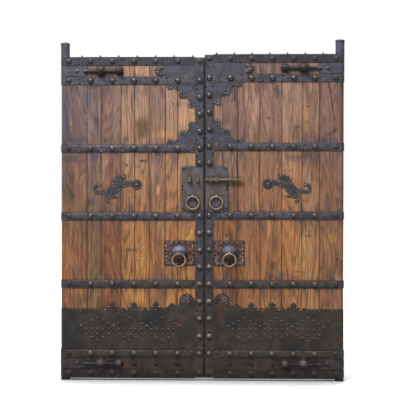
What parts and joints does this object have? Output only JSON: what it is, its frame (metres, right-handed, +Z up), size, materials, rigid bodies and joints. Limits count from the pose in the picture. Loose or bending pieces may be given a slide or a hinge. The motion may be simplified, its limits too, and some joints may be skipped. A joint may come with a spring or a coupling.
{
  "type": "strapped plank gate pair",
  "caption": "Pair of plank courtyard gate leaves with iron straps, dome nails, pull and knocker rings and a sliding bolt, turning on pivot posts in iron sockets.",
  "frame": {"origin": "middle of the object's box at the underside of the pivot sockets", "axes": "+X to the viewer's right seen from the strapped front, +Y from the front to the back, +Z up"},
  "size_m": [1.8489, 0.1375, 2.212],
  "materials": {
    "old_timber": "weathered, matt, greyed towards the top",
    "batten_timber": "weathered, matt",
    "strap_iron": "blue-grey forged iron with light rust",
    "dark_iron": "dark sheet iron with rust bloom",
    "stud_iron": "rubbed forged iron",
    "lock_iron": "pale worn iron",
    "rust_iron": "rust-red pierced sheet",
    "bronze": "dull worn bronze"
  },
  "bodies": {
    "sockets": {"left_pivot_socket": "dark_iron", "right_pivot_socket": "dark_iron"},
    "left_leaf": {"left_hinge_stile": "old_timber", "left_plank_1": "old_timber", "left_plank_2": "old_timber", "left_plank_3": "old_timber", "left_plank_4": "old_timber", "left_plank_5": "old_timber", "left_plank_6": "old_timber", "left_meeting_stile": "old_timber", "left_back_battens": "batten_timber", "left_top_strap": "strap_iron", "left_cross_straps": "strap_iron", "left_bottom_strap": "dark_iron", "left_edge_strap": "strap_iron", "left_corner_plates": "strap_iron", "left_kick_plate": "dark_iron", "left_hinge_bands": "strap_iron", "left_band_bosses": "stud_iron", "left_lock_plate": "lock_iron", "left_bolt_staples": "bronze", "left_ring_eyes": "bronze", "left_knocker_plate": "rust_iron", "left_knocker_dome": "stud_iron", "left_figure_plate": "strap_iron", "left_dome_nails": "stud_iron", "left_small_nails": "stud_iron", "left_post_sleeve": "strap_iron", "left_pivot_shoe": "dark_iron"},
    "left_pull_ring": {"left_pull_ring": "bronze"},
    "left_knocker_ring": {"left_knocker_ring": "bronze"},
    "right_leaf": {"right_hinge_stile": "old_timber", "right_plank_1": "old_timber", "right_plank_2": "old_timber", "right_plank_3": "old_timber", "right_plank_4": "old_timber", "right_plank_5": "old_timber", "right_meeting_stile": "old_timber", "right_back_battens": "batten_timber", "right_top_strap": "strap_iron", "right_cross_straps": "strap_iron", "right_bottom_strap": "dark_iron", "right_edge_strap": "strap_iron", "right_corner_plates": "strap_iron", "right_kick_plate": "dark_iron", "right_hinge_bands": "strap_iron", "right_band_bosses": "stud_iron", "right_lock_plate": "lock_iron", "right_bolt_staples": "bronze", "right_ring_eyes": "bronze", "right_knocker_plate": "rust_iron", "right_knocker_dome": "stud_iron", "right_figure_plate": "strap_iron", "right_dome_nails": "stud_iron", "right_small_nails": "stud_iron", "right_post_sleeve": "strap_iron", "right_pivot_shoe": "dark_iron"},
    "right_pull_ring": {"right_pull_ring": "bronze"},
    "right_knocker_ring": {"right_knocker_ring": "bronze"},
    "bolt": {"bolt": "bronze"}
  },
  "joints": [
    {"name": "left_leaf_swing", "type": "hinge", "parent": "sockets", "child": "left_leaf", "pos_m": [-0.893, 0.02575, 0], "axis": [0, 0, 1], "range_deg": [0, 90]},
    {"name": "right_leaf_swing", "type": "hinge", "parent": "sockets", "child": "right_leaf", "pos_m": [0.893, 0.02575, 0], "axis": [0, 0, -1], "range_deg": [0, 90]},
    {"name": "bolt_slide", "type": "slide", "parent": "right_leaf", "child": "bolt", "axis": [-1, 0, 0], "range_m": [0, 0.112]},
    {"name": "left_pull_ring_swing", "type": "hinge", "parent": "left_leaf", "child": "left_pull_ring", "pos_m": [-0.061, -0.01675, 1.19667], "axis": [-1, 0, 0], "range_deg": [0, 110]},
    {"name": "right_pull_ring_swing", "type": "hinge", "parent": "right_leaf", "child": "right_pull_ring", "pos_m": [0.092, -0.01675, 1.19667], "axis": [-1, 0, 0], "range_deg": [0, 110]},
    {"name": "left_knocker_ring_swing", "type": "hinge", "parent": "left_leaf", "child": "left_knocker_ring", "pos_m": [-0.147, -0.05675, 0.829], "axis": [-1, 0, 0], "range_deg": [0, 110]},
    {"name": "right_knocker_ring_swing", "type": "hinge", "parent": "right_leaf", "child": "right_knocker_ring", "pos_m": [0.178, -0.05675, 0.829], "axis": [-1, 0, 0], "range_deg": [0, 110]}
  ]
}
